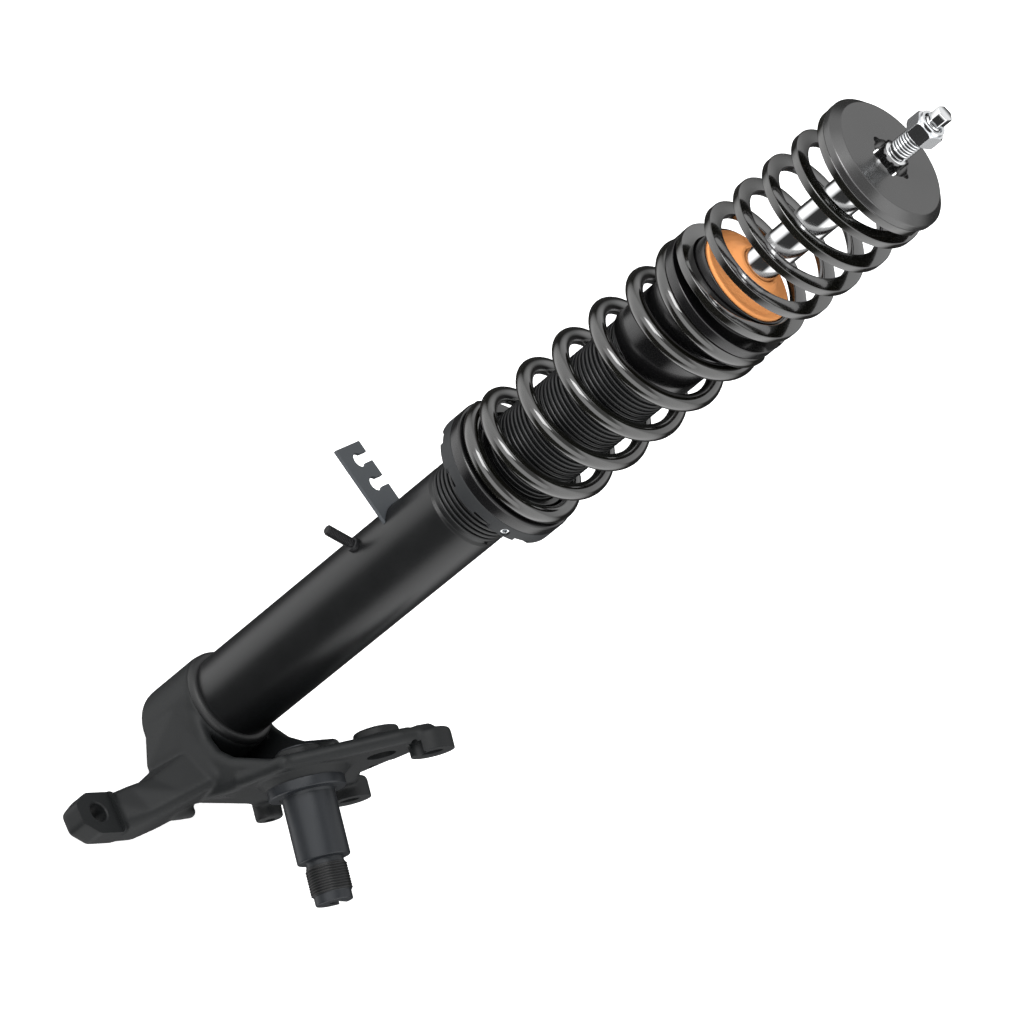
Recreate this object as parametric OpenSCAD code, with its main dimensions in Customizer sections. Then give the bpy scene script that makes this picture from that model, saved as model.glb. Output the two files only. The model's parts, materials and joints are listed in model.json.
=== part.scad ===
// Coilover strut assembly: knuckle, stub axle, damper, adjustable seat, main and helper springs.
// Origin: strut axis at the knuckle's bottom face. +Z runs up the rod, +X towards the wheel.

/* [Strut tube] */
// Outside diameter of the strut tube
tube_od = 51; // [50:0.5:52]
// Wall thickness of the strut tube
tube_wall = 2.5; // [2:0.1:3]
// Height where the seat thread starts
thread_z = 250; // [245:1:255]
// Height of the tube's open end
tube_top = 424; // [420:1:426]

/* [Knuckle] */
// Outside radius of the cup that holds the tube
cup_r = 30; // [29:0.5:32]
// Height of the cup's rim
cup_top = 45; // [43:1:48]
// Height where the stub axle's line meets the strut axis
stub_z = 86; // [84:1:88]
// Lean of the stub axle below square, degrees
stub_lean = 12.5; // [11:0.5:14]
// Distance of the plate's inboard face from the strut axis, along the stub axle
plate_in = 57; // [56:0.5:58]
// Thickness of the plate
plate_t = 9.5; // [9:0.5:10]
// Diameter of the caliper bolt holes
caliper_d = 12; // [11:0.5:13]
// Diameter of the wheel speed sensor hole
sensor_d = 16.5; // [15:0.5:18]
// Diameter of the tie-rod hole
tie_d = 11.5; // [10:0.5:12]
// Diameter of the ball joint hole
ball_d = 18; // [16:0.5:20]

/* [Stub axle] */
// Diameter of the bearing journal
journal_d = 30; // [28:0.5:32]
// Diameter over the axle nut thread
axle_thread_d = 23.6; // [22:0.2:24]
// Distance of the journal's shoulder from the strut axis
shoulder_r = 77; // [76:0.5:78]
// Distance of the stub axle's tip from the strut axis
stub_tip_r = 138.5; // [137:0.5:140]

/* [Spring seat] */
// Lower edge of the adjuster collar
collar_z = 273; // [271:1:275]
// Outside diameter of the collar and the seat
seat_od = 80; // [79:0.5:81]
// Top face of the spring seat
seat_z = 291; // [290:1:292]

/* [Springs] */
// Inside diameter of both springs
spring_id = 60; // [60:0.2:60.6]
// Wire diameter of the main spring
main_wire = 9.2; // [9:0.1:9.4]
// Turns of the main spring
main_turns = 6.5; // [6.25:0.25:6.5]
// Radial width of the helper spring's wire
helper_w = 8.4; // [8:0.1:8.6]
// Height of the helper spring's wire
helper_t = 4.6; // [4:0.1:4.8]
// Turns of the helper spring
helper_turns = 5.95; // [5.85:0.05:6.05]

/* [Top end] */
// Under face of the top plate
plate_z = 570.5; // [569.5:0.5:571.5]
// Thickness of the top plate
top_t = 8.3; // [8:0.1:8.6]
// Outside diameter of the top plate
top_od = 77.4; // [77:0.2:78]
// Diameter of the piston rod
rod_d = 20; // [19.5:0.5:20]
// Tip of the piston rod
rod_top = 618; // [616:1:620]
// Width across flats of the top nut
nut_af = 16.5; // [16:0.5:18]

/* [Hidden] */
$fn = 96;

tube_r = tube_od / 2;
bore_r = tube_r - tube_wall;
floor_z = 14;               // top of the cup's floor
weld_h = 4.2;
base_z = 20;                // top of the plug that closes the tube
plate_out = plate_in + plate_t;
ear_out = 73;               // outboard face of the caliper ears
ear_t = 12.5;
ear_r = 12.5;
upper_ear = [60.5, 40];   // places on the plate: [up, away] from the stub axle's line
lower_ear = [-33, 69.5];
sensor_at = [35.5, 26.5];
shield_upper = [60, 28.5];
shield_middle = [13.5, 42.5];
lower_boss = [-58, 28.5];
boss_out = 74;
arm_at = [45.6, -91];       // the tie-rod hole's place
arm_top = 5;
arm_low = -9;
arm_half = 12;              // half the width of the steering arm

cap_r = 27.25;
cap_z = 400;                // lower edge of the cap nut
cap_top = 440;
rod_r = rod_d / 2;
inner_r = 17.5;             // outside of the inner tube
inner_wall = 1.5;
guide_low = 405;            // the rod guide, in the tube's open end
guide_high = 420;
seal_z = 416;
seal_r = 15;
ring_z = 410;               // lower edge of the guide's O-ring
ring_t = 1.6;
piston_z = 340;             // lower face of the piston
seat_r = seat_od / 2;
seam_z = 284;               // where the seat ring rests on the collar
coupler_z = 452;            // under face of the coupler's flange
coupler_t = 6;
spring_r = spring_id / 2;
helper_z = coupler_z + coupler_t;
gap = 0.3;                  // air between parts that slide past each other

// Frame of the plate: +X points down the plate, +Y away, +Z out along the stub axle.
module on_stub() translate([0, 0, stub_z]) rotate([0, 90 + stub_lean, 0]) children();
// Place on the plate, from [up, away].
module at(place, r) translate([-place[0], place[1], r]) children();
module tube(r, inner, h) difference() {
    cylinder(r = r, h = h);
    translate([0, 0, -1]) cylinder(r = inner, h = h + 2);
}

module plate_outline() polygon([
    [-14, -31], [-26, -13], [-44, 4], [-60, 22], [-70, 36], [-56, 51], [-33, 53], [-18, 49],
    [2, 50], [20, 66], [34, 60], [40, 44], [60, 38], [66, 26], [56, 14], [40, -22], [20, -33]]);

module knuckle() color("#2c2e2f") difference() {
    union() {
        cylinder(r = cup_r, h = cup_top);
        // near wall, from the cup to the plate's near edge
        translate([0, -26, 0]) rotate([90, 0, 0]) linear_extrude(8) polygon([
            [8, 0], [40, 0], [52, 14], [59, 40], [66, 86], [58, 84], [46, 60], [35, 46], [24, 43], [-6, 43], [-6, 14]]);
        // far wall
        hull() {
            translate([4, 22, 2]) cube([12, 7, 38]);
            on_stub() translate([-4, 16, plate_in + 0.7]) cube([42, 10, plate_t - 1.5]);
        }
        // lower web, from the cup's floor to the lower boss
        hull() {
            translate([0, -24, 0]) cube([16, 50, 12]);
            on_stub() at(lower_boss, plate_in + 1) cylinder(r = 7, h = 7, $fn = 32);
            on_stub() translate([30, -23, plate_in + 0.7]) cube([9, 44, plate_t - 1.5]);
        }
        // root of the steering arm
        hull() {
            translate([16, -36, 0]) cube([36, 8, 26]);
            translate([30, -60, arm_low + 3]) cube([26, 4, 18]);
        }
        hull() {
            translate([30, -61, arm_low + 3]) cube([26, 5, 18]);
            translate([arm_at[0] - arm_half, -80, arm_low]) cube([2 * arm_half, 4, arm_top - arm_low]);
        }
        // flat end of the steering arm
        translate([0, 0, arm_low]) linear_extrude(arm_top - arm_low) polygon([
            [arm_at[0] - arm_half, -77], [arm_at[0] - arm_half, -97], [arm_at[0] - 6, -106],
            [arm_at[0] + 6, -106], [arm_at[0] + arm_half, -97], [arm_at[0] + arm_half, -77]]);
        // steering stop
        translate([42, -31, 17]) rotate([0, 90, 0]) cylinder(r = 5, h = 13);
        on_stub() {
            translate([0, 0, plate_in]) linear_extrude(plate_t) plate_outline();
            translate([0, 0, 51]) cylinder(r = 13, h = 8);
            translate([0, 0, plate_in]) cylinder(r = 26, h = 13);
            at(upper_ear, ear_out - ear_t) cylinder(r = ear_r, h = ear_t);
            at(lower_ear, ear_out - ear_t) cylinder(r = ear_r, h = ear_t);
            at(sensor_at, 51.5) cylinder(r = 13, h = 8);
            at(lower_boss, plate_in) cylinder(r = 8, h = boss_out - plate_in);
        }
    }
    translate([0, 0, floor_z]) cylinder(r = tube_r, h = 90);
    translate([0, 0, cup_top]) cylinder(r = cup_r, h = weld_h + gap);
    translate([0, 0, -1]) cylinder(d = ball_d, h = floor_z + 2);
    translate([arm_at[0], arm_at[1], arm_low - 1]) cylinder(d = tie_d, h = arm_top - arm_low + 2);
    on_stub() {
        translate([0, 0, 40]) cylinder(r = 11, h = 40);
        at(upper_ear, 40) cylinder(d = caliper_d, h = 60);
        at(lower_ear, 40) cylinder(d = caliper_d, h = 60);
        at(sensor_at, 40) cylinder(d = sensor_d, h = 60);
        at(shield_upper, 40) cylinder(d = 5, h = 60);
        at(shield_upper, plate_out) cylinder(r = 4.5, h = 20);
        at(shield_middle, 40) cylinder(d = 5, h = 60);
        at(lower_boss, boss_out - 12) cylinder(d = 6, h = 20);
    }
}

module stub_axle() color("#323437") on_stub() difference() {
    rotate_extrude() polygon([
        [0, 50.5], [10, 50.5], [11, 51.5], [11, 70], [22, 70], [22, shoulder_r - 1], [21, shoulder_r],
        [journal_d / 2 + 1, shoulder_r], [journal_d / 2, shoulder_r + 1], [journal_d / 2, 113.5],
        [journal_d / 2 - 1, 114.5], [axle_thread_d / 2 - 1, 115], [axle_thread_d / 2 - 1, 117],
        [axle_thread_d / 2, 118], [axle_thread_d / 2, 133], [10.6, 133.5], [10.6, stub_tip_r - 1],
        [9.8, stub_tip_r], [0, stub_tip_r]]);
    translate([0, 0, stub_tip_r - 8]) cylinder(d = 6, h = 10);
    rotate([0, 0, 75]) translate([0, -2.5, stub_tip_r - 5]) cube([14, 5, 8]);
}

module strut_tube() color("#26282a") translate([0, 0, floor_z]) tube(tube_r, bore_r, tube_top - floor_z);

module tube_weld() color("#303234") translate([0, 0, cup_top]) rotate_extrude() polygon([
    [tube_r, 0], [cup_r - 0.6, 0], [cup_r - 1, 1.4], [cup_r - 2.4, 2.8], [tube_r + 0.8, weld_h - 0.4],
    [tube_r, weld_h]]);

module tube_base() color("#6a6c6e") translate([0, 0, floor_z]) difference() {
    cylinder(r = bore_r, h = base_z - floor_z);
    translate([0, 0, 3]) cylinder(r = 12, h = 4);
}

stud_at = 239.5;            // direction and height of the stud on the tube
stud_z = 187;
module threaded_stud() color("#2a2c2e") rotate([0, 0, stud_at]) translate([0, 0, stud_z]) rotate([0, 90, 0])
difference() {
    union() {
        translate([0, 0, tube_r - 2]) cylinder(r = 4, h = 4.5);
        translate([0, 0, tube_r]) cylinder(d = 6, h = 20);
    }
    rotate([0, -90, 0]) translate([0, 0, -10]) cylinder(r = tube_r, h = 20);
}

module hook_slot(x) translate([x, 5, -1]) {
    cylinder(r = 4.2, h = 4);
    translate([-2.8, -14, 0]) cube([5.6, 14, 4]);
}

bracket_at = 197;           // direction and height of the bracket on the tube
bracket_z = 211;
module hose_bracket() color("#2c2e30") rotate([0, 0, bracket_at]) translate([0, 0, bracket_z]) difference() {
    translate([14, -5, 0]) cube([51, 23.6, 2]);
    translate([0, 0, -1]) cylinder(r = tube_r, h = 4);
    hook_slot(39.5);
    hook_slot(55);
}

module inner_tube() color("#9a9c9e") translate([0, 0, base_z + 8])
    tube(inner_r, inner_r - inner_wall, guide_low - base_z - 8);

module foot_valve() color("#8c8e90") translate([0, 0, base_z]) difference() {
    union() {
        cylinder(r = inner_r + 1.5, h = 8);
        translate([0, 0, 8]) cylinder(r = inner_r - inner_wall, h = 6);
    }
    for (a = [0:60:300]) rotate([0, 0, a]) translate([10, 0, -1]) cylinder(d = 3, h = 20, $fn = 24);
    translate([0, 0, -1]) cylinder(r = 6, h = 4);
}

module foot_valve_shims() color("#b0b2b4") translate([0, 0, base_z + 14]) {
    cylinder(r = 13, h = 0.6);
    translate([0, 0, 0.6]) cylinder(r = 9, h = 0.6);
    translate([0, 0, 1.2]) cylinder(d = 10, h = 4, $fn = 6);
}

module rod_guide() color("#8a8c8f") difference() {
    union() {
        translate([0, 0, guide_low - 7]) cylinder(r = inner_r - inner_wall, h = 7);
        translate([0, 0, guide_low]) cylinder(r = bore_r, h = guide_high - guide_low);
    }
    translate([0, 0, guide_low - 8]) cylinder(r = 12, h = guide_high);
    translate([0, 0, seal_z]) cylinder(r = seal_r, h = 5);
    translate([0, 0, ring_z]) tube(bore_r + 1, bore_r - ring_t, 3);
}

module guide_bush() color("#7a6a4a") translate([0, 0, guide_low - 7]) tube(12, rod_r + 0.04, 16);
module guide_o_ring() color("#141414") translate([0, 0, ring_z]) tube(bore_r, bore_r - ring_t, 3);

module rod_seal() color("#1a1a1a") difference() {
    translate([0, 0, seal_z]) cylinder(r = seal_r, h = 9);
    translate([0, 0, seal_z - 1]) cylinder(r = rod_r + 0.05, h = 11);
    translate([0, 0, seal_z + 2]) tube(13, rod_r + 1.5, 3);
}

module cap_nut() color("#1a1b1c") difference() {
    rotate_extrude() polygon([
        [0, cap_z], [cap_r - 0.8, cap_z], [cap_r, cap_z + 0.8], [cap_r, cap_top - 1.5],
        [cap_r - 1.5, cap_top], [0, cap_top]]);
    translate([0, 0, cap_z - 1]) cylinder(r = tube_r, h = tube_top - cap_z + 1);
    translate([0, 0, cap_z]) cylinder(r = bore_r, h = 25);
    translate([0, 0, cap_z]) cylinder(r = rod_r + 1.5, h = 50);
}

module bump_stop() color("#e8955a") difference() {
    rotate_extrude() polygon(concat(
        [[rod_r + gap, cap_top], [20, cap_top], [22, 442], [22, 448], [20, 450], [20, 452], [23, 455], [23, 461],
         [21, 463], [21, 465], [25.5, 469], [27.2, 470.5], [27.5, 472], [27.2, 473.2], [26.5, 473.5], [24, 473.5]],
        [for (i = [0:8]) let (t = i / 8) [24 - 12.4 * t, 473.5 + 8.5 * pow(t, 2)]],
        [[rod_r + gap, 482]]));
}

module spring_seat() color("#161718") difference() {
    union() {
        translate([0, 0, seam_z]) cylinder(r = seat_r, h = seat_z - seam_z - 1);
        translate([0, 0, seat_z - 1]) cylinder(r1 = seat_r, r2 = seat_r - 1, h = 1);
        translate([0, 0, seat_z]) cylinder(r = spring_r - 0.7, h = 6);
    }
    translate([0, 0, seam_z - 1]) cylinder(r = tube_r + gap, h = 20);
}

notches = 9;
grub_at = -28;              // direction and height of the grub screw
grub_z = 279;
module adjuster_collar() color("#2b2d2f") difference() {
    rotate_extrude() polygon([
        [tube_r + 0.05, collar_z], [seat_r - 4, collar_z], [seat_r, collar_z + 3], [seat_r, seam_z],
        [tube_r + 0.05, seam_z]]);
    for (i = [0:notches - 1]) rotate([0, 0, -89 + 360 / notches * i])
        translate([30, -5.5, collar_z - 1]) cube([12, 11, 6]);
    rotate([0, 0, grub_at]) translate([0, 0, grub_z]) rotate([0, 90, 0]) cylinder(r = 2.5, h = 60);
}

module grub_screw() color("#c8cacc") rotate([0, 0, grub_at]) translate([0, 0, grub_z]) rotate([0, 90, 0])
    difference() {
        translate([0, 0, tube_r + 2]) cylinder(r = 2.5, h = 11.5);
        translate([0, 0, tube_r + 10]) cylinder(r = 1.45, h = 6, $fn = 6);
    }

// Height gained by a coil after t turns: flat, then a smooth ramp to the full pitch, then flat again.
function ease(u) = u <= 0 ? 0 : u >= 1 ? u - 0.5 : pow(u, 3) - pow(u, 4) / 2;
function rise(t, turns, flat, ramp) =
    ramp * (ease((t - flat) / ramp) - ease((t - (turns - flat - ramp)) / ramp));
function full_rise(turns, flat, ramp) = turns - 2 * flat - ramp;

// Sweeps the section, a list of [radius, height] points, round the strut axis as a coil.
module coil(section, turns, start, low, high, flat, ramp, per_turn = 32) {
    steps = ceil(turns * per_turn);
    sides = len(section);
    pitch = (high - low) / full_rise(turns, flat, ramp);
    points = [for (i = [0:steps]) let (t = turns * i / steps, a = start + 360 * t,
                  z = low + pitch * rise(t, turns, flat, ramp))
              for (p = section) [p[0] * cos(a), p[0] * sin(a), z + p[1]]];
    faces = concat(
        [[for (k = [sides - 1:-1:0]) k]],
        [[for (k = [0:sides - 1]) steps * sides + k]],
        [for (i = [0:steps - 1]) for (k = [0:sides - 1]) let (a = i * sides + k, b = i * sides + (k + 1) % sides)
            each [[a, b, b + sides], [a, b + sides, a + sides]]]);
    polyhedron(points = points, faces = faces, convexity = 10);
}

main_r = spring_r + main_wire / 2;
module main_spring() color("#1d1e1e") coil(
    [for (k = [0:11]) [main_r + main_wire / 2 * cos(30 * k), main_wire / 2 * sin(30 * k)]],
    main_turns, 204.7, seat_z + main_wire / 2, coupler_z - main_wire / 2, 0.35, 0.55);

helper_r = spring_r + helper_w / 2;
edge = 0.6;
module helper_spring() color("#1d1e1e") coil(
    [for (s = [[1, 1, 0], [-1, 1, 1], [-1, -1, 0], [1, -1, 1]], k = [0, 1])
        let (first = (k + s[2]) % 2)
        [helper_r + s[0] * (helper_w / 2 - (first == 0 ? 0 : edge)),
         s[1] * (helper_t / 2 - (first == 0 ? edge : 0))]],
    helper_turns, 24.7, helper_z + helper_t / 2, plate_z - helper_t / 2, 0.25, 0.45);

guide_z = coupler_z - 17;   // lower edge of the coupler's sleeve, which guides both springs
guide_h = 37;
module spring_coupler() color("#1a1b1c") difference() {
    union() {
        translate([0, 0, guide_z]) cylinder(r = spring_r - 0.8, h = guide_h);
        translate([0, 0, coupler_z]) cylinder(r = 38.2, h = coupler_t);
    }
    translate([0, 0, guide_z - 1]) cylinder(r = 28, h = guide_h + 2);
}

hole_r = 11.2;              // the hole that the rod's neck stands in
top_r = top_od / 2;
module top_plate() color("#4a4b4c") difference() {
    rotate_extrude() polygon([
        [0, plate_z - 5], [spring_r - 0.9, plate_z - 5], [spring_r - 0.9, plate_z], [top_r - 1, plate_z],
        [top_r, plate_z + 1], [top_r, plate_z + 3.8], [top_r - 0.4, plate_z + 4.6],
        [top_r - 4.4, plate_z + top_t - 0.3], [top_r - 5.2, plate_z + top_t], [0, plate_z + top_t]]);
    translate([0, 0, plate_z - 6]) cylinder(r = spring_r - 3.5, h = 6);
    translate([0, 0, plate_z - 1]) cylinder(r = hole_r, h = 20);
    for (a = [0:60:300]) rotate([0, 0, a + 24.7]) translate([hole_r - 0.6, 0, plate_z - 1]) cylinder(r = 2.8, h = 20);
}

module hex(af, h) cylinder(d = af / cos(30), h = h, $fn = 6);

thread_r = 6;
tip_z = 610.3;              // where the rod's hexagonal tip starts
module piston_rod() color("#d8dadc") {
    rotate_extrude() polygon([
        [0, piston_z - 18], [5, piston_z - 18], [5, piston_z + 14], [rod_r - 1, piston_z + 14], [rod_r, piston_z + 15],
        [rod_r, 566], [rod_r - 1, 567], [7, 567], [7, 582.5], [6.4, 583], [5.2, 583.2], [5.2, 584], [thread_r, 584.8],
        [thread_r, tip_z - 0.8], [5.2, tip_z], [0, tip_z]]);
    translate([0, 0, tip_z]) rotate([0, 0, 33]) hex(8.6, rod_top - tip_z - 0.8);
    translate([0, 0, rod_top - 0.8]) cylinder(r1 = 4.3, r2 = 3.6, h = 0.8);
}

module rebound_stop() color("#20242a") translate([0, 0, piston_z + 36]) tube(15, rod_r, 16);
module piston() color("#9a9ca0") translate([0, 0, piston_z]) difference() {
    tube(inner_r - 2.2, 5, 12);
    translate([0, 0, 3]) tube(inner_r, inner_r - 3.4, 6);
    for (a = [0:60:300]) rotate([0, 0, a]) translate([9.5, 0, -1]) cylinder(d = 3, h = 20, $fn = 24);
}
module piston_ring() color("#7c5a3a") translate([0, 0, piston_z + 3]) tube(inner_r - 1.55, inner_r - 3.4, 6);
module piston_shims() color("#b4b6b8") {
    translate([0, 0, piston_z - 0.8]) tube(12.5, 5, 0.8);
    translate([0, 0, piston_z - 1.6]) tube(9.5, 5, 0.8);
    translate([0, 0, piston_z + 12]) tube(12.5, 5, 1);
    translate([0, 0, piston_z + 13]) tube(9, 5, 1);
}
module piston_nut() color("#a8aaac") translate([0, 0, piston_z - 9.6]) difference() {
    hex(15, 8);
    translate([0, 0, -1]) cylinder(r = 5, h = 10);
}

module top_nut() color("#d0d2d4") translate([0, 0, 598.5]) rotate([0, 0, 24.6]) difference() {
    union() {
        intersection() {
            hex(nut_af, 9);
            cylinder(r1 = nut_af / 2 + 0.4, r2 = nut_af / 2 + 9.4, h = 9);
            cylinder(r1 = nut_af / 2 + 9.4, r2 = nut_af / 2 + 0.4, h = 9);
        }
        translate([0, 0, 9]) cylinder(r = 7.6, h = 2);
    }
    translate([0, 0, -1]) cylinder(r = thread_r, h = 14);
}

knuckle();
stub_axle();
strut_tube();
tube_weld();
tube_base();
threaded_stud();
hose_bracket();
inner_tube();
foot_valve();
foot_valve_shims();
rod_guide();
guide_bush();
guide_o_ring();
rod_seal();
cap_nut();
bump_stop();
spring_seat();
adjuster_collar();
grub_screw();
main_spring();
spring_coupler();
helper_spring();
top_plate();
piston_rod();
rebound_stop();
piston();
piston_ring();
piston_shims();
piston_nut();
top_nut();
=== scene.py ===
"""Looks of the coilover strut assembly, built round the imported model.

Lengths are in millimetres until a mesh is finished, which puts it in metres. +Z is up the strut."""
import json
import math

import bmesh
import bpy
from mathutils import Matrix, Vector


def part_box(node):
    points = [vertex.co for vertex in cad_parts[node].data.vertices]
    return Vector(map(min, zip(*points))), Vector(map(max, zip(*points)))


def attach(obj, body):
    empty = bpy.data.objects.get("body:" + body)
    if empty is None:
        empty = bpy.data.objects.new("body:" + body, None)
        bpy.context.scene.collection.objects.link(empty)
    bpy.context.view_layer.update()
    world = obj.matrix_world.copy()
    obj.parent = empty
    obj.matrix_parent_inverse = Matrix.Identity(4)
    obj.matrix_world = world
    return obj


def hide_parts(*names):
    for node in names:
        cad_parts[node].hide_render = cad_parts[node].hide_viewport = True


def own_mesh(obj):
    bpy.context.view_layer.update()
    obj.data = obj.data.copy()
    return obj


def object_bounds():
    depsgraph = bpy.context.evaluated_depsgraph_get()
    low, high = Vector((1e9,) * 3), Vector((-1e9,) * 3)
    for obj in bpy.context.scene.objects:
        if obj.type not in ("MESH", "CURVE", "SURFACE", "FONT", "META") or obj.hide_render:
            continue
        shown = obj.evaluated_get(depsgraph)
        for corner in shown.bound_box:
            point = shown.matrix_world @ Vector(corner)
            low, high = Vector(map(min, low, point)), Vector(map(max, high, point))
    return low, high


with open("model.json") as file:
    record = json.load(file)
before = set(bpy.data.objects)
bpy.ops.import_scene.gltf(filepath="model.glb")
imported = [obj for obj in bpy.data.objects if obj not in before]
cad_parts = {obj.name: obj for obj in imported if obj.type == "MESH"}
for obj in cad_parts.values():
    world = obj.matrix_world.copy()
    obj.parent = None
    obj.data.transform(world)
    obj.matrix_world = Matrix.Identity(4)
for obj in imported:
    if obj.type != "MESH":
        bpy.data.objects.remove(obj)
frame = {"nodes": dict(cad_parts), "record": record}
CAD_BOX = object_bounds()
MM = 0.001
UP = Vector((0, 0, 1))


# ---------------------------------------------------------------- frame values, in millimetres

def low_high(node):
    """Lowest and highest corner of a node, in millimetres."""
    low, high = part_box(node)
    return low / MM, high / MM


def mount(name):
    """A mount's place in millimetres, its axis, and its sizes."""
    found = next(m for m in frame["record"]["mounts"] if m["name"] == name)
    return Vector(found["pos_m"]) / MM, Vector(found["axis"]).normalized(), found["dims"]


TUBE_LOW, TUBE_HIGH = low_high("strut_tube")
TUBE_R = TUBE_HIGH.x
TUBE_BORE = 23
WELD_LOW, WELD_HIGH = low_high("tube_weld")
CUP_R, CUP_TOP = WELD_HIGH.x + 0.6, WELD_LOW.z
SEAT_LOW, SEAT_HIGH = low_high("spring_seat")
SEAT_Z = SEAT_HIGH.z - 6                     # the seat's top face, below its locating lip
COLLAR_LOW, COLLAR_HIGH = low_high("adjuster_collar")
COUPLER_LOW, COUPLER_HIGH = low_high("spring_coupler")
FLANGE_LOW = COUPLER_LOW.z + 17              # faces of the coupler's flange, between the springs
FLANGE_TOP = FLANGE_LOW + 6
CAP_LOW, CAP_HIGH = low_high("cap_nut")
PLATE_LOW, PLATE_HIGH = low_high("top_plate")
PLATE_UNDER = PLATE_LOW.z + 5                # the top plate's underside, above its locating ring
ROD_LOW, ROD_HIGH = low_high("piston_rod")
AXLE, OUT, JOURNAL_DIMS = mount("wheel_bearing_journal")
AXLE_THREAD_R = mount("axle_nut_thread")[2]["r_mm"]
AWAY = Vector((0, 1, 0))
PLATE_UP = AWAY.cross(-OUT).normalized()
STUB_Z = AXLE.z - OUT.z / OUT.x * AXLE.x     # where the stub axle's line meets the strut axis
PLATE_IN, PLATE_OUT = 57, 66.5               # faces of the knuckle's plate, along the stub axle
THREAD_Z = 250                               # where the seat thread starts on the tube
SPRING_R = 30                                # inside radius of both springs
TOP_TURN = 24.7                              # turn of the top plate's scallops and the helper spring's end


def on_plate(up, away, out):
    """A point given up and away from the stub axle's line, and out along it."""
    return Vector((0, 0, STUB_Z)) + PLATE_UP * up + AWAY * away + OUT * out


def columns(x, y, z, origin):
    """The matrix whose axes are x, y and z and whose origin is given."""
    return Matrix.Translation(origin) @ Matrix((x, y, z)).transposed().to_4x4()


STUB_MATRIX = columns(-PLATE_UP, AWAY, OUT, (0, 0, STUB_Z))     # +Z out along the stub axle, -X up the plate


# ---------------------------------------------------------------- materials

GRAIN_DEPTH = 0.2


def linear(colour):
    """An sRGB hex colour as linear red, green, blue and alpha."""
    parts = [int(colour[i:i + 2], 16) / 255 for i in (0, 2, 4)]
    return [p / 12.92 if p <= 0.04045 else ((p + 0.055) / 1.055) ** 2.4 for p in parts] + [1.0]


def add(tree, kind, settings=None, **inputs):
    """Adds a node with its settings; an input is a value or another node's output socket."""
    node = tree.nodes.new(kind)
    for name, value in (settings or {}).items():
        setattr(node, name, value)
    for name, value in inputs.items():
        key = int(name[1:]) if name[0] == "_" else name.replace("_", " ")
        socket = node.inputs[key]
        if isinstance(value, bpy.types.NodeSocket):
            tree.links.new(value, socket)
        else:
            socket.default_value = value
    return node


def material(name, colour, roughness, metallic=0.0, coat=0.0, coat_rough=0.1, grain_mm=0.6, grain=0.05,
             mottle=0.12, mottle_mm=18.0, rough_spread=0.08, stretch=(1, 1, 1), specular=0.5):
    """A surface with fine grain in its bump and slow changes in its colour and gloss.

    grain_mm and mottle_mm are the real sizes of the two patterns; stretch draws the grain out along an axis,
    as in a turned or brushed finish."""
    mat = bpy.data.materials.new(name)
    mat.use_nodes = True
    tree = mat.node_tree
    tree.nodes.clear()
    coords = add(tree, "ShaderNodeTexCoord").outputs["Object"]
    placed = add(tree, "ShaderNodeMapping", Vector=coords, Scale=stretch).outputs["Vector"]
    slow = add(tree, "ShaderNodeTexNoise", Vector=coords, Scale=1 / (mottle_mm * MM), Detail=4.0)
    fine = add(tree, "ShaderNodeTexNoise", Vector=placed, Scale=1 / (grain_mm * MM), Detail=3.0)
    base = linear(colour)
    dark = [c * (1 - mottle) for c in base[:3]] + [1]
    light = [min(1, c * (1 + mottle)) for c in base[:3]] + [1]
    tint = add(tree, "ShaderNodeMix", {"data_type": "RGBA"}, _0=slow.outputs["Fac"], _6=dark, _7=light)
    gloss = add(tree, "ShaderNodeMapRange", Value=fine.outputs["Fac"], _3=roughness - rough_spread / 2,
                _4=roughness + rough_spread / 2)
    worn = add(tree, "ShaderNodeMath", {"operation": "MULTIPLY_ADD"}, _0=slow.outputs["Fac"], _1=rough_spread,
               _2=gloss.outputs["Result"])
    bump = add(tree, "ShaderNodeBump", Strength=grain, Distance=GRAIN_DEPTH * MM, Height=fine.outputs["Fac"])
    shader = add(tree, "ShaderNodeBsdfPrincipled", Base_Color=tint.outputs[2],
                 Roughness=worn.outputs["Value"], Metallic=metallic, Normal=bump.outputs["Normal"],
                 Coat_Weight=coat, Coat_Roughness=coat_rough, Specular_IOR_Level=specular)
    add(tree, "ShaderNodeOutputMaterial", Surface=shader.outputs["BSDF"])
    return mat


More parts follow.
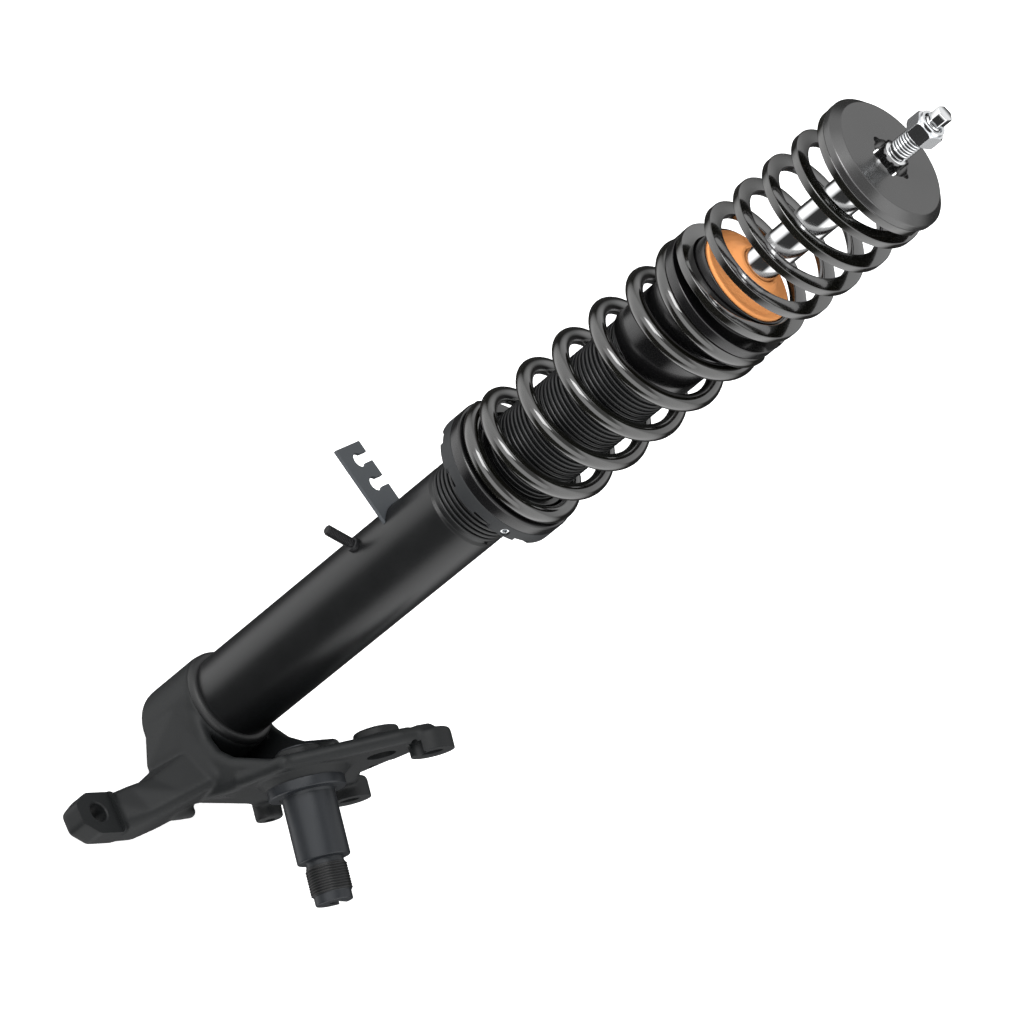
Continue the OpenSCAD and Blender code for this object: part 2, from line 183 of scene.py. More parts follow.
M = {
    # Ductile iron casting under black dip paint: an even satin black with a fine cast grain.
    "cast_black": material("dipped_black_casting", "131516", 0.5, grain_mm=1.1, grain=0.22, mottle=0.18,
                           specular=0.3),
    # Ground steel with a thin black phosphate: smooth, turned round its axis, slightly metallic.
    "phosphate": material("black_phosphate_steel", "1d2024", 0.34, metallic=0.3, grain_mm=0.5, grain=0.06),
    # The same steel where the thread is rolled, darker than the journal; as the sleeve in the piston rod's
    # thread roots, between zinc crests, it is painted shade.
    "thread_black": material("dark_thread_with_painted_root_shade", "0e0f10", 0.34, metallic=0.2, grain_mm=0.5, grain=0.05),
    # Seamless tube under black powder coat: smooth satin with wide soft reflections.
    "powder": material("black_powder_coat", "0c0d0e", 0.3, grain_mm=1.6, grain=0.05, mottle=0.1),
    # Weld metal under the same paint: rounder and a little duller.
    "weld": material("painted_weld_bead", "101112", 0.42, grain_mm=0.8, grain=0.2),
    # Laser-cut sheet with thin black coat: flatter and greyer than the tube.
    "sheet": material("coated_sheet_steel", "3a3e42", 0.5, grain_mm=0.7, grain=0.1),
    # Hard black anodising on turned aluminium: gloss black.
    "anodised": material("black_anodised_aluminium", "0a0a0b", 0.2, metallic=0.1, grain_mm=0.5, grain=0.03,
                         coat=0.4),
    # Bead-blasted and anodised collar: matte dark grey.
    "blasted": material("blasted_dark_anodising", "1e2022", 0.5, metallic=0.1, grain_mm=0.35, grain=0.12),
    # Spring steel under gloss powder coat: black with sharp bright bands.
    "spring": material("gloss_black_spring_coat", "0a0a07", 0.12, grain_mm=2.2, grain=0.02, coat=1.0,
                       coat_rough=0.05, rough_spread=0.03, specular=0.8),
    # Milled plate, dark hard anodising: smooth neutral grey that mirrors the rod.
    "plate": material("dark_hard_anodised_plate", "5c5c5c", 0.2, metallic=0.85, grain_mm=0.4, grain=0.02,
                      mottle=0.04, rough_spread=0.03),
    # Cellular polyurethane: matte orange with fine open pores.
    "foam": material("orange_cellular_polyurethane", "ffa866", 0.85, grain_mm=0.45, grain=0.5, mottle=0.1,
                     specular=0.2),
    # Hard chrome, ground and polished: a clean mirror with faint rings.
    "chrome": material("ground_hard_chrome", "e4e5e6", 0.08, metallic=1.0, grain_mm=0.35, grain=0.012,
                       mottle=0.02, stretch=(0.15, 0.15, 1), rough_spread=0.03),
    # Bright zinc plate on turned steel: silver, a little soft.
    "zinc": material("bright_zinc_plate", "dfe1e3", 0.1, metallic=1.0, grain_mm=0.5, grain=0.05, mottle=0.06),
    # Black zinc on a rolled screw: dark with soft gloss.
    "black_zinc": material("black_zinc_plate", "1d1d1f", 0.38, metallic=0.5, grain_mm=0.4, grain=0.08),
    # Drawn steel, bare: grey with marks along the tube.
    "steel": material("drawn_bare_steel", "9a9da0", 0.32, metallic=1.0, grain_mm=0.5, grain=0.06,
                      stretch=(1, 1, 0.1)),
    # Sintered iron: dull grey and open-grained.
    "sintered": material("sintered_iron", "77797b", 0.55, metallic=0.9, grain_mm=0.35, grain=0.25),
    # Cast aluminium, turned.
    "aluminium": material("turned_cast_aluminium", "b4b6b8", 0.4, metallic=1.0, grain_mm=0.6, grain=0.12),
    # Bronze bearing strip.
    "bronze": material("bronze_bearing_strip", "a9824e", 0.38, metallic=1.0, grain_mm=0.5, grain=0.08),
    # Nitrile rubber: matte black.
    "rubber": material("nitrile_rubber", "121212", 0.7, grain_mm=0.4, grain=0.15, specular=0.3),
}
HIDDEN_FINISH = {
    "tube_base": "steel", "inner_tube": "steel", "foot_valve": "sintered", "foot_valve_shims": "steel",
    "rod_guide": "aluminium", "guide_bush": "bronze", "guide_o_ring": "rubber", "rod_seal": "rubber",
    "rebound_stop": "rubber", "piston": "sintered", "piston_ring": "bronze", "piston_shims": "steel",
    "piston_nut": "zinc",
}


# ---------------------------------------------------------------- mesh tools, in millimetres

def finish_mesh(name, bm, mat, matrix=None, sharp_deg=35):
    """Turns a bmesh in millimetres into a piece in metres, with outward faces and sharp edges."""
    bmesh.ops.remove_doubles(bm, verts=bm.verts, dist=1e-4)
    bmesh.ops.recalc_face_normals(bm, faces=bm.faces)
    mesh = bpy.data.meshes.new(name)
    bm.to_mesh(mesh)
    bm.free()
    mesh.transform(Matrix.Scale(MM, 4) @ (matrix or Matrix.Identity(4)))
    mesh.materials.append(mat)
    piece = bpy.data.objects.new(name, mesh)
    bpy.context.scene.collection.objects.link(piece)
    shade(piece, sharp_deg)
    return piece


def shade(piece, sharp_deg=35):
    """Smooth faces, with sharp edges above an angle."""
    mesh = piece.data
    mesh.polygons.foreach_set("use_smooth", [True] * len(mesh.polygons))
    mesh.set_sharp_from_angle(angle=math.radians(sharp_deg))
    mesh.update()


def rounded(points, radius, steps=4):
    """Rounds the corners of a closed profile of (r, z) points; a third value on a point is its own radius."""
    smooth = []
    count = len(points)
    for i, point in enumerate(points):
        here = Vector(point[:2])
        before, after = Vector(points[i - 1][:2]), Vector(points[(i + 1) % count][:2])
        own = point[2] if len(point) > 2 else radius
        if here.x < 1e-6 or own <= 0:
            smooth.append(tuple(here))
            continue
        a, b = (before - here), (after - here)
        if a.length < 1e-6 or b.length < 1e-6 or a.angle(b, 0) > math.radians(170):
            smooth.append(tuple(here))
            continue
        half = a.angle(b) / 2
        reach = min(own / math.tan(half), a.length * 0.48, b.length * 0.48)
        start, end = here + a.normalized() * reach, here + b.normalized() * reach
        for k in range(steps + 1):
            t = k / steps
            smooth.append(tuple(start * (1 - t) ** 2 + here * 2 * t * (1 - t) + end * t ** 2))
    return smooth


def circle(r, around=64, centre=(0, 0), start=0.0):
    """Points of a circle."""
    angles = [start + 2 * math.pi * k / around for k in range(around)]
    return [(centre[0] + r * math.cos(a), centre[1] + r * math.sin(a)) for a in angles]


def turned(profile, around=128, radius=0.4, steps=4):
    """A closed profile of (r, z) points swept round Z."""
    bm = bmesh.new()
    rings = []
    for r, z in rounded(profile, radius, steps):
        ring = circle(r, around) if r > 1e-6 else [(0, 0)]
        rings.append([bm.verts.new((x, y, z)) for x, y in ring])
    for i, ring in enumerate(rings):
        after = rings[(i + 1) % len(rings)]
        if len(ring) == 1 and len(after) == 1:
            continue
        for k in range(around):
            n = (k + 1) % around
            if len(ring) == 1:
                bm.faces.new((ring[0], after[k], after[n]))
            elif len(after) == 1:
                bm.faces.new((ring[k], after[0], ring[n]))
            else:
                bm.faces.new((ring[k], after[k], after[n], ring[n]))
    return bm


def prism(outline, low, high):
    """An outline of (x, y) points raised from low to high."""
    bm = bmesh.new()
    bottom = [bm.verts.new((x, y, low)) for x, y in outline]
    top = [bm.verts.new((x, y, high)) for x, y in outline]
    bm.faces.new(list(reversed(bottom)))
    bm.faces.new(top)
    for i in range(len(outline)):
        n = (i + 1) % len(outline)
        bm.faces.new((bottom[i], bottom[n], top[n], top[i]))
    return bm


def modify(piece, kind, **settings):
    """Adds a modifier and applies it."""
    modifier = piece.modifiers.new(kind.lower(), kind)
    for name, value in settings.items():
        setattr(modifier, name, value)
    bake(piece)


def bake(piece):
    """Replaces a piece's mesh by what its modifiers make of it, and removes them."""
    bpy.context.view_layer.update()
    graph = bpy.context.evaluated_depsgraph_get()
    mesh = bpy.data.meshes.new_from_object(piece.evaluated_get(graph), depsgraph=graph)
    mesh.name = piece.name
    piece.modifiers.clear()
    piece.data = mesh


def place(piece, matrix):
    """Moves a piece's mesh by a matrix in millimetres."""
    piece.data.transform(Matrix.Scale(MM, 4) @ matrix @ Matrix.Scale(1 / MM, 4))


def cut(piece, *cutters):
    """Takes the cutters away from a piece, and removes them."""
    for cutter in cutters:
        modifier = piece.modifiers.new("cut", "BOOLEAN")
        modifier.object = cutter
        modifier.solver = "MANIFOLD"
    bake(piece)
    for cutter in cutters:
        bpy.data.objects.remove(cutter)


def drill(r, low, high, matrix=None, centre=(0, 0), around=64, flare=0.0):
    """A cutter for a round hole, with a chamfer of flare at its high end."""
    profile = [(0, low), (r, low), (r, high)]
    if flare:
        past = high + 4
        profile += [(r + flare, high + flare * 0.9), (r + flare, past), (0, past)]
    else:
        profile.append((0, high))
    bm = turned(profile, around, radius=0)
    bm.transform(Matrix.Translation((centre[0], centre[1], 0)))
    return finish_mesh("cutter", bm, M["steel"], matrix)


def block(x, y, z, matrix=None):
    """A cutter with flat sides, given by its low and high values along each axis."""
    corners = [(x[0], y[0]), (x[1], y[0]), (x[1], y[1]), (x[0], y[1])]
    return finish_mesh("cutter", prism(corners, *z), M["steel"], matrix)


def join(name, *parts):
    """Joins pieces into the first, under a new name."""
    first = parts[0]
    mats = []
    for part in parts:
        if part.data.materials[0] not in mats:
            mats.append(part.data.materials[0])
    bm = bmesh.new()
    for part in parts:
        before = len(bm.faces)
        bm.from_mesh(part.data)
        bm.faces.ensure_lookup_table()
        for face in bm.faces[before:]:
            face.material_index = mats.index(part.data.materials[0])
    mesh = bpy.data.meshes.new(name)
    bm.to_mesh(mesh)
    bm.free()
    for mat in mats:
        mesh.materials.append(mat)
    for part in parts[1:]:
        bpy.data.objects.remove(part)
    first.data = mesh
    first.name = name
    shade(first)
    return first


def done(piece, node, body):
    """Puts a finished piece on its body, in the place of its CAD node."""
    piece.name = node + "_shown"
    piece.data.name = piece.name
    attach(piece, body)
    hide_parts(node)


# ---------------------------------------------------------------- sweeps, by geometry nodes

ROUND_BAR_SIDES = 24
FLAT_BAR_CORNER = 0.6


def sweep_tree(name, kind):
    """A tree that sweeps a bar along the path of edges it is given, kind being round or flat."""
    tree = bpy.data.node_groups.new(name, "GeometryNodeTree")
    face = tree.interface
    face.new_socket("Path", in_out="INPUT", socket_type="NodeSocketGeometry")
    face.new_socket("Width", in_out="INPUT", socket_type="NodeSocketFloat")
    face.new_socket("Height", in_out="INPUT", socket_type="NodeSocketFloat")
    face.new_socket("Material", in_out="INPUT", socket_type="NodeSocketMaterial")
    face.new_socket("Bar", in_out="OUTPUT", socket_type="NodeSocketGeometry")
    given = tree.nodes.new("NodeGroupInput").outputs
    curve = add(tree, "GeometryNodeMeshToCurve", Mesh=given["Path"])
    upright = add(tree, "GeometryNodeSetCurveNormal", {"mode": "Z_UP"}, Curve=curve.outputs["Curve"])
    if kind == "round":
        half = add(tree, "ShaderNodeMath", {"operation": "MULTIPLY"}, _0=given["Width"], _1=0.5)
        profile = add(tree, "GeometryNodeCurvePrimitiveCircle", Resolution=ROUND_BAR_SIDES,
                      Radius=half.outputs[0])
    else:
        bar = add(tree, "GeometryNodeCurvePrimitiveQuadrilateral", Width=given["Width"],
                  Height=given["Height"])
        profile = add(tree, "GeometryNodeFilletCurve", {"mode": "POLY"}, Curve=bar.outputs["Curve"],
                      Radius=FLAT_BAR_CORNER, Count=4)
    tube = add(tree, "GeometryNodeCurveToMesh", Curve=upright.outputs["Curve"],
               Profile_Curve=profile.outputs["Curve"], Fill_Caps=True)
    solid = add(tree, "GeometryNodeRealizeInstances", Geometry=tube.outputs["Mesh"])
    painted = add(tree, "GeometryNodeSetMaterial", Geometry=solid.outputs["Geometry"],
                  Material=given["Material"])
    add(tree, "NodeGroupOutput", Bar=painted.outputs["Geometry"])
    return tree


def swept(name, path, tree, width, height, mat, matrix=None):
    """Sweeps a bar along a path of points in millimetres."""
    mesh = bpy.data.meshes.new(name)
    mesh.from_pydata(path, [(i, i + 1) for i in range(len(path) - 1)], [])
    piece = bpy.data.objects.new(name, mesh)
    bpy.context.scene.collection.objects.link(piece)
    modifier = piece.modifiers.new("sweep", "NODES")
    modifier.node_group = tree
    values = {"Width": width, "Height": height, "Material": mat}
    for item in tree.interface.items_tree:
        if item.in_out == "INPUT" and item.name in values:
            modifier[item.identifier] = values[item.name]
    bake(piece)
    bm = bmesh.new()
    bm.from_mesh(piece.data)
    bpy.data.objects.remove(piece)
    return finish_mesh(name, bm, mat, matrix, sharp_deg=40)


def eased(u):
    """Height gained while a coil's slope grows smoothly from nothing, over one ramp."""
    return 0 if u <= 0 else u - 0.5 if u >= 1 else u ** 3 - u ** 4 / 2


def coil_path(radius, turns, start_deg, low, high, flat, ramp, per_turn=96):
    """Points along a coil with closed ends, in the same rule as the CAD coils."""
    whole = turns - 2 * flat - ramp
    pitch = (high - low) / whole
    path = []
    for i in range(math.ceil(turns * per_turn) + 1):
        t = min(i / per_turn, turns)
        angle = math.radians(start_deg) + 2 * math.pi * t
        climb = ramp * (eased((t - flat) / ramp) - eased((t - (turns - flat - ramp)) / ramp))
        path.append((radius * math.cos(angle), radius * math.sin(angle), low + pitch * climb))
    return path


def helix(radius, pitch, low, high, per_turn=64):
    """Points along a plain helix."""
    turns = (high - low) / pitch
    steps = math.ceil(turns * per_turn)
    path = []
    for i in range(steps + 1):
        angle = 2 * math.pi * turns * i / steps
        path.append((radius * math.cos(angle), radius * math.sin(angle), low + (high - low) * i / steps))
    return path


RIDGE_SHARE = 0.74          # a thread ridge's width over its pitch


def thread(name, crest, pitch, low, high, mat, matrix=None, per_turn=64):
    """A screw thread's ridge, rounded at its crest, sunk into its core."""
    ridge = pitch * RIDGE_SHARE
    path = helix(crest - ridge / 2, pitch, low, high, per_turn)
    return swept(name, path, ROUND_BAR, ridge, 0, mat, matrix)


ROUND_BAR = sweep_tree("round_bar_sweep", "round")
FLAT_BAR = sweep_tree("flat_bar_sweep", "flat")


# ---------------------------------------------------------------- knuckle

def blob(bm, *balls):
    """Adds the rounded hull of balls, each given as a point and a radius."""
    part = bmesh.new()
    for centre, r in balls:
        bmesh.ops.create_icosphere(part, subdivisions=2, radius=r, matrix=Matrix.Translation(centre))
    hull = bmesh.ops.convex_hull(part, input=part.verts)
    inside = [v for v in hull["geom_interior"] if isinstance(v, bmesh.types.BMVert)]
    bmesh.ops.delete(part, geom=inside, context="VERTS")
    include(bm, part)


def include(bm, part, matrix=None):
    """Adds a bmesh to another, placed by a matrix."""
    bmesh.ops.recalc_face_normals(part, faces=part.faces)
    mesh = bpy.data.meshes.new("included")
    part.to_mesh(mesh)
    part.free()
    if matrix:
        mesh.transform(matrix)
    bm.from_mesh(mesh)
    bpy.data.meshes.remove(mesh)


# Places on the plate, each up and away from the stub axle's line.
UPPER_EAR, LOWER_EAR = (60.5, 40), (-33, 69.5)
SENSOR, LOWER_BOSS = (35.5, 26.5), (-58, 28.5)
SHIELD_UPPER, SHIELD_MIDDLE = (60, 28.5), (13.5, 42.5)
EAR_OUT, EAR_T, EAR_R = 73, 12.5, 12.5      # the caliper ears' outboard face, thickness and radius
TIE, _, TIE_DIMS = mount("tie_rod_bore")
ARM_TOP, ARM_LOW = 5, -9                    # faces of the steering arm's flat end

# The plate's outline, as overlapping convex parts.
PLATE_PARTS = [
    [(10, -26.5), (25, -9), (42, 8), (38, 44), (16, 43), (2, 44), (-10, 0)],
    [(40, 6), (55, 22), (64, 36), (59, 45), (40, 46), (26, 46)],
    [(12, -26), (-18, -28.5), (-38, -17.5), (-38, 18), (-2, 45), (-18, 26)],
    [(-2, 42), (-8, 50), (-22, 62), (-33, 69), (-38, 66), (-38, 42), (-18, 20)],
    [(-36, -16), (-54, 16), (-61, 27), (-56, 35), (-38, 40), (-28, 18)],
]

# The walls, as upright bars: (x, y), low and high.
NEAR_WALL = [((-6, -25), 6, 40), ((10, -26.5), 6, 39.5), ((24, -27), 6, 39), ((35, -27.3), 8, 42.5),
             ((45, -27), 16, 51)]
FAR_WALL = [((8, 23.5), 8, 38), ((22, 23), 12, 44), ((33, 21.5), 20, 52), ((43, 19.5), 32, 64),
            ((54, 17), 44, 86)]

# The steering arm: a swell low on the near wall, then its cross-sections, all as balls of a point and a radius.
ARM_SWELL = [((-4, -24, 8), 6), ((-2, -26, 30), 4), ((19, -33, 6), 6), ((19, -31, 26), 4), ((44, -32, 10), 6),
             ((45, -30, 40), 4)]
ARM_ROOT = [((26, -34, 5), 6), ((27, -32, 28), 4), ((46, -34, 8), 6), ((46, -31, 36), 4)]
ARM_MIDDLE = [((35.5, -52, 1), 6), ((36, -51, 14), 5), ((50, -50, 1), 6), ((49, -47, 24), 5)]
ARM_NECK = [((37.5, -65, -3), 6), ((37, -64, 7), 5), ((53.5, -66, -3), 6), ((52, -62, 12), 5)]
ARM_FLAT = [((39.5, -80, -4), 5.8), ((39.5, -80, 0.4), 4.4), ((53.5, -80, -4), 5.8), ((52, -80, 0.4), 4.4)]
ARM_END = [(36.3, -78), (36.3, -95), (41.5, -103), (50.5, -103), (56, -95), (56, -78)]
STEERING_STOP = [((46, -36, 8), 6), ((54, -34, 15), 3.6), ((52, -42, 10), 4)]


def vectors(rows):
    """Rows of a point and a radius, with the points as vectors."""
    return [(Vector(point), r) for point, r in rows]


def at_spot(spot):
    """The matrix that stands something on the plate at a place."""
    return STUB_MATRIX @ Matrix.Translation((-spot[0], spot[1], 0))


def boss(bm, spot, r, low, high, edge=1.5):
    """Adds a rounded disc standing on the plate."""
    include(bm, turned([(0, low), (r, low), (r, high), (0, high)], 64, radius=edge), at_spot(spot))


def wall(bm, bars, r):
    """A wall of upright bars, joined two by two."""
    for pair in zip(bars, bars[1:]):
        blob(bm, *[(Vector((*spot, z)), r) for spot, low, high in pair for z in (low, high)])


def plate_hole(spot, r, low=40, high=90, around=64, flare=0.0):
    """A cutter for a hole through the plate."""
    return drill(r, low, high, STUB_MATRIX, (-spot[0], spot[1]), around, flare)


def cup_and_walls(bm):
    """Adds the cup that holds the tube, and what joins it to the plate."""
    include(bm, turned([(0, 0), (CUP_R, 0, 7), (CUP_R, CUP_TOP, 2), (0, CUP_TOP)], 96, steps=6))
    wall(bm, NEAR_WALL, 4.5)
    end, wall_low, wall_high = NEAR_WALL[-1]
    blob(bm, (Vector((*end, wall_low)), 4.5), (Vector((*end, wall_high)), 4.5),
         (on_plate(4, -26.5, 61.7), 4.7), (on_plate(-30, -26, 61.7), 4.7))
    wall(bm, FAR_WALL, 4)
    web = [Vector((6, -20, 6)), Vector((6, 20, 6)), on_plate(-56, 26, 60), on_plate(-40, -13, 60),
           Vector((34, -28, 7)), Vector((40, -24, 12))]
    blob(bm, *[(point, 6) for point in web])


def plate_and_bosses(bm):
    """Adds the plate, the caliper ears, the bosses and the seat of the stub axle."""
    level, half = (PLATE_IN + PLATE_OUT) / 2, (PLATE_OUT - PLATE_IN) / 2
    for outline in PLATE_PARTS:
        blob(bm, *[(on_plate(up, away, level), half) for up, away in outline])
    for ear in (UPPER_EAR, LOWER_EAR):
        boss(bm, ear, EAR_R, EAR_OUT - EAR_T, EAR_OUT + 3, 3)
    boss(bm, SENSOR, 13, 51.5, 60)
    boss(bm, (0, 0), 13, 51, 60)
    boss(bm, LOWER_BOSS, 8, PLATE_IN, 75)
    seat = [(0, 60), (27, 60), (26, 67.5, 1), (22.5, 70.5, 1), (22.5, 71), (0, 71)]
    include(bm, turned(seat, 96), STUB_MATRIX)


def steering_arm(bm):
    """Adds the steering arm, which narrows to its flat end, and the steering stop."""
    for part in (ARM_SWELL, ARM_ROOT + ARM_MIDDLE, ARM_MIDDLE + ARM_NECK, ARM_NECK + ARM_FLAT):
        blob(bm, *vectors(part))
    blob(bm, *vectors(((x, y, z), 3) for z in (ARM_LOW + 2.2, ARM_TOP) for x, y in ARM_END))
    blob(bm, *vectors(STEERING_STOP))


def machining():
    """The cutters for the knuckle's machined faces and holes."""
    ear_chamfer, arm_chamfer = 0.7, 0.8
    ear_hole = {"r": 6, "high": EAR_OUT - ear_chamfer, "flare": ear_chamfer}
    return [
        block((-40, 40), (-40, 40), (EAR_OUT, EAR_OUT + 20), at_spot((UPPER_EAR[0] + 25, UPPER_EAR[1]))),
        block((-20, 20), (-20, 20), (EAR_OUT, EAR_OUT + 20), at_spot((LOWER_EAR[0], LOWER_EAR[1] + 4))),
        block((28, 64), (-120, -79), (ARM_TOP, ARM_TOP + 12)),
        drill(TUBE_R, 14, 90, around=96),
        drill(9, -4, 16),
        drill(TIE_DIMS["r_mm"], ARM_LOW - 6, ARM_TOP - arm_chamfer, centre=TIE[:2], flare=arm_chamfer),
        plate_hole((0, 0), 11),
        plate_hole(UPPER_EAR, **ear_hole),
        plate_hole(LOWER_EAR, **ear_hole),
        plate_hole(SENSOR, 8.25),
        plate_hole(SHIELD_UPPER, 2.5, around=32),
        plate_hole(SHIELD_UPPER, 4.5, low=PLATE_OUT, around=48),
        plate_hole(SHIELD_MIDDLE, 2.5, around=32),
        plate_hole(LOWER_BOSS, 3, low=62, around=32),
    ]


def knuckle():
    """The casting, as overlapping rounded hulls fused and smoothed, then machined."""
    bm = bmesh.new()
    cup_and_walls(bm)
    plate_and_bosses(bm)
    steering_arm(bm)
    casting = finish_mesh("knuckle", bm, M["cast_black"])
    voxel, passes = ((0.95, 10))
    modify(casting, "REMESH", mode="VOXEL", voxel_size=voxel * MM)
    modify(casting, "SMOOTH", factor=0.5, iterations=passes)
    cut(casting, *machining())
    shade(casting, 32)
    done(casting, "knuckle", "housing")


# ---------------------------------------------------------------- stub axle, tube and what is on it

def stub_axle():
    spigot, shoulder, journal, neck = 11, 22, JOURNAL_DIMS["r_mm"], 10.7
    root = AXLE_THREAD_R - 0.75
    axle = finish_mesh("axle", turned([
        (0, 50.5), (spigot, 50.5), (spigot, 70, 0), (shoulder, 70, 0), (shoulder, 76.2, 1),
        (journal + 1.2, 76.8, 0.5), (journal + 0.6, 76.4, 0.4), (journal, 78), (journal, 114, 0.9),
        (neck, 114.6, 0.3), (neck, 117, 0.3), (root, 117.8, 0.2), (root, 133), (neck - 0.1, 133.6, 0.2),
        (neck - 0.1, 138.5, 0.8), (0, 138.5)], 128, radius=0.3), M["phosphate"])
    slot_turn = Matrix.Rotation(math.radians(75), 4, "Z")
    cut(axle, drill(3, 130.5, 150))
    cut(axle, block((1.2, 14), (-2.5, 2.5), (133.5, 150), slot_turn))
    place(axle, STUB_MATRIX)
    shade(axle)
    groove = finish_mesh("thread_root", turned([
        (AXLE_THREAD_R - 2, 117.2), (AXLE_THREAD_R - 0.7, 117.4), (AXLE_THREAD_R - 0.7, 133.2),
        (AXLE_THREAD_R - 2, 133.4)], 96, radius=0), M["thread_black"], STUB_MATRIX)
    ridge = thread("axle_thread", AXLE_THREAD_R, 1.5, 118, 132.8, M["thread_black"], STUB_MATRIX)
    done(join("stub_axle", axle, groove, ridge), "stub_axle", "housing")


def strut_tube():
    root, pitch = TUBE_R - 1.5, 3.0
    core = turned([(TUBE_BORE, TUBE_LOW.z), (TUBE_R, TUBE_LOW.z), (TUBE_R, THREAD_Z - 1.2), (root, THREAD_Z),
                   (root, TUBE_HIGH.z), (TUBE_BORE, TUBE_HIGH.z)], 160, radius=0.3)
    tube = finish_mesh("tube", core, M["powder"])
    ridge = thread("tube_thread", TUBE_R, pitch, THREAD_Z + 1.2, TUBE_HIGH.z - 1.5, M["powder"], per_turn=56)
    done(join("strut_tube", tube, ridge), "strut_tube", "housing")


def tube_weld():
    """A fillet weld whose surface carries the ripples of its laying."""
    around, ripples, depth, steps = 720, 150, 0.09, 8
    wide, tall = WELD_HIGH.x - TUBE_R, WELD_HIGH.z - WELD_LOW.z
    arc = [math.pi / 2 * k / steps for k in range(steps + 1)]
    section = [(TUBE_R - 0.3, WELD_LOW.z - 0.2), (WELD_HIGH.x - 0.4, WELD_LOW.z - 0.2)]
    section += [(TUBE_R + wide * math.cos(a) ** 0.8, WELD_LOW.z + tall * math.sin(a) ** 0.9) for a in arc]
    section.append((TUBE_R - 0.3, WELD_HIGH.z))
    bm = bmesh.new()
    rings = []
    for k in range(around):
        angle = 2 * math.pi * k / around
        ring = []
        for i, (r, z) in enumerate(section):
            side = min(max(i - 1, 0), steps) / steps
            lag = side * 1.4
            ripple = depth * abs(math.sin(ripples / 2 * angle + lag)) * math.sin(math.pi * side) ** 0.5
            ring.append(bm.verts.new(((r - ripple) * math.cos(angle), (r - ripple) * math.sin(angle),
                                      z - ripple * 0.5)))
        rings.append(ring)
    for a, b in zip(rings, rings[1:] + rings[:1]):
        for i in range(len(section)):
            n = (i + 1) % len(section)
            bm.faces.new((a[i], b[i], b[n], a[n]))
    done(finish_mesh("weld", bm, M["weld"], sharp_deg=60), "tube_weld", "housing")


def threaded_stud():
    spot, axis, dims = mount("wire_clip_stud")
    matrix = Matrix.Translation((0, 0, spot.z)) @ UP.rotation_difference(axis).to_matrix().to_4x4()
    foot, root, tip = 4.2, 2.5, 45.3
    core = turned([(0, TUBE_R - 1.5), (foot, TUBE_R - 1.5), (foot, 28, 0.8), (root, 28.2, 0.2),
                   (root, tip, 0.5), (0, tip)], 64, radius=0.4)
    stud = finish_mesh("stud", core, M["black_zinc"], matrix)
    ridge = thread("stud_thread", dims["r_mm"], 1.0, 29.2, 44.8, M["black_zinc"], matrix, 32)
    done(join("threaded_stud", stud, ridge), "threaded_stud", "housing")


def machined(node, mat, body, width=0.25, angle=28):
    """A copy of a CAD node with its flats merged and its edges broken."""
    mesh = frame["nodes"][node].data.copy()
    mesh.materials.clear()
    mesh.materials.append(mat)
    bm = bmesh.new()
    bm.from_mesh(mesh)
    bmesh.ops.remove_doubles(bm, verts=bm.verts, dist=1e-6)
    bmesh.ops.dissolve_limit(bm, angle_limit=math.radians(1), verts=bm.verts, edges=bm.edges)
    bm.to_mesh(mesh)
    bm.free()
    piece = bpy.data.objects.new(node + "_piece", mesh)
    bpy.context.scene.collection.objects.link(piece)
    modify(piece, "BEVEL", width=width * MM, segments=2, limit_method="ANGLE",
           angle_limit=math.radians(angle))
    shade(piece, 50)
    modify(piece, "WEIGHTED_NORMAL", keep_sharp=True)
    done(piece, node, body)


def cap_nut():
    r, opening, under = CAP_HIGH.x, 12, CAP_HIGH.z - 4
    skirt = CAP_LOW.z + 25
    bm = turned([(TUBE_BORE, skirt), (TUBE_R, skirt, 0), (TUBE_R, CAP_LOW.z, 0), (r, CAP_LOW.z, 0.8),
                 (r, CAP_HIGH.z, 1.6), (opening, CAP_HIGH.z), (opening, under), (TUBE_BORE, under)],
                128, radius=0.3)
    done(finish_mesh("cap", bm, M["anodised"]), "cap_nut", "housing")


def bump_stop():
    """A bellows-shaped foam buffer; each row is a radius, a height above its foot and a rounding."""
    low, high = low_high("bump_stop")
    bore = 10.4
    outside = [
        (20, 0, 1), (22.3, 3, 1.5), (22.3, 7, 1.5), (20, 10.8, 1.2), (23.2, 15, 2), (23.2, 21, 2),
        (20.8, 24, 1), (26.4, 29.5, 1), (27.5, 31.5, 1), (27.2, 33.6, 1), (24, 33.6, 1), (19.5, 34.8, 3),
        (15, 38, 3), (12, 41.6, 1)]
    profile = [(bore, low.z)] + [(r, low.z + up, edge) for r, up, edge in outside] + [(bore, high.z, 0.4)]
    foam = finish_mesh("bump", turned(profile, 128, radius=1, steps=6), M["foam"], sharp_deg=80)
    done(foam, "bump_stop", "housing")


# ---------------------------------------------------------------- seat, collar, coupler and springs

def spring_seat():
    bore, lip = TUBE_R + 0.3, 29.3
    bm = turned([(bore, SEAT_LOW.z), (SEAT_HIGH.x, SEAT_LOW.z, 0.5), (SEAT_HIGH.x, SEAT_Z, 1.4),
                 (lip, SEAT_Z, 0.2), (lip, SEAT_HIGH.z, 1.2), (bore, SEAT_HIGH.z, 0.6)], 128, radius=0.3)
    done(finish_mesh("seat", bm, M["anodised"]), "spring_seat", "seat")


